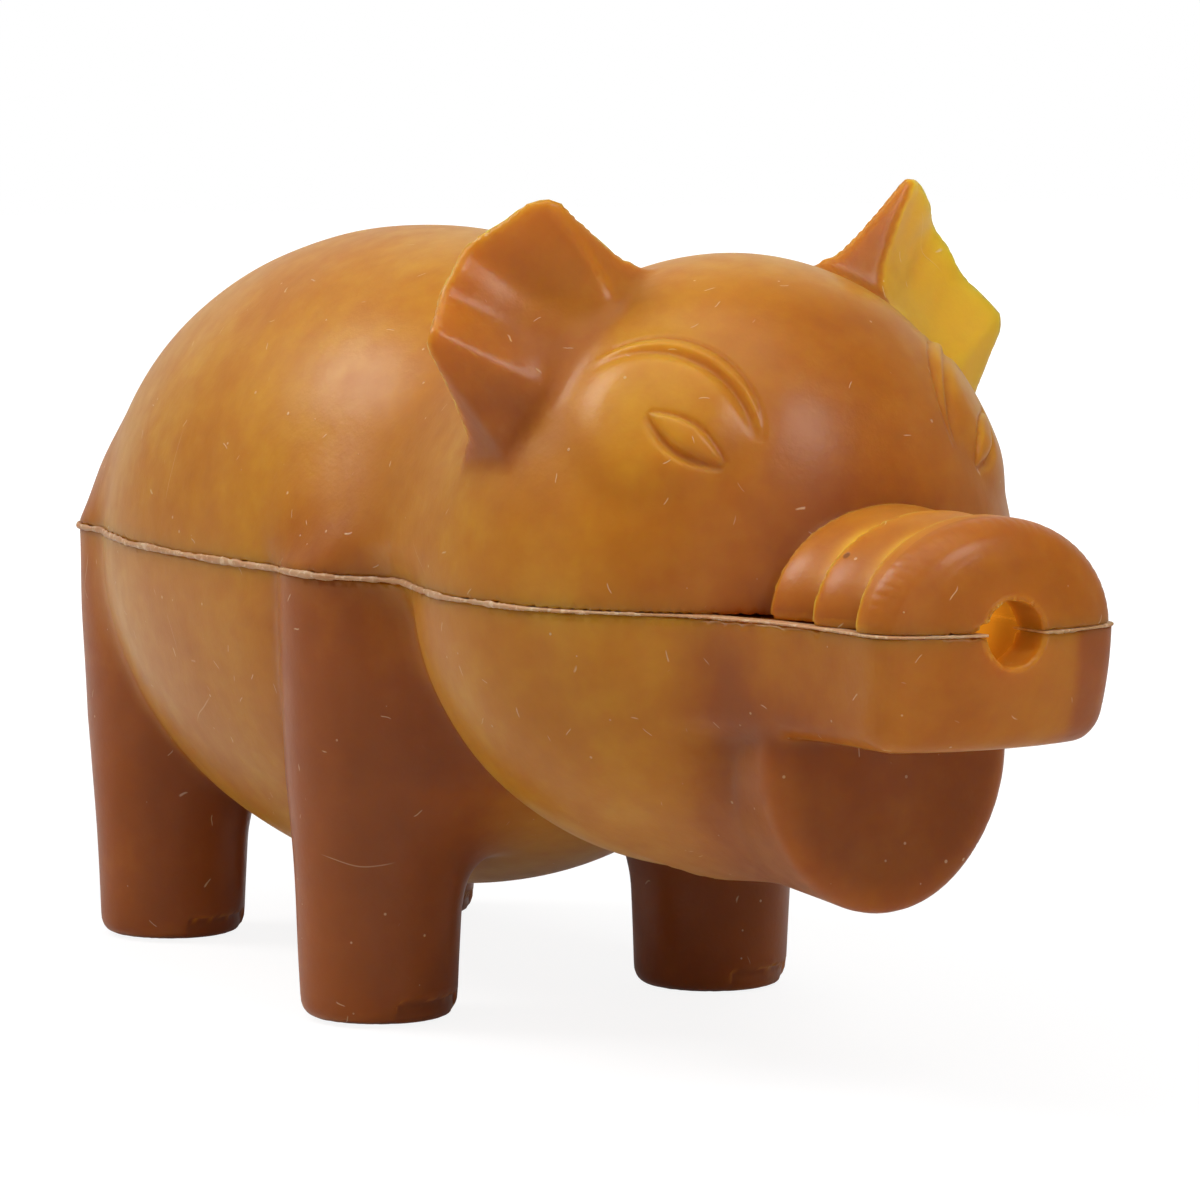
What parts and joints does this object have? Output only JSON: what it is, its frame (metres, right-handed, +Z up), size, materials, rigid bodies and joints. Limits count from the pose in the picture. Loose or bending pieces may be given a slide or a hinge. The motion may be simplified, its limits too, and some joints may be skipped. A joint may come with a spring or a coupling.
{
  "type": "rubber pig dog toy",
  "caption": "Hollow moulded rubber pig chew toy with stubby legs, folded ears, closed eyes and a ringed snout with a round hole.",
  "frame": {"origin": "centre of the footprint, on the plane of the four soles", "axes": "+X out of the snout, +Y to the pig's left, +Z up"},
  "size_m": [0.1667, 0.0646, 0.0852],
  "materials": {
    "amber_rubber": "satin, slightly see-through where thin",
    "dark_amber_rubber": "satin, darker where thick",
    "pale_rubber_flash": "matt, trimmed edge"
  },
  "bodies": {
    "root": {"upper_half": "amber_rubber", "bond_line_flash": "pale_rubber_flash", "lower_half": "dark_amber_rubber"}
  },
  "joints": []
}
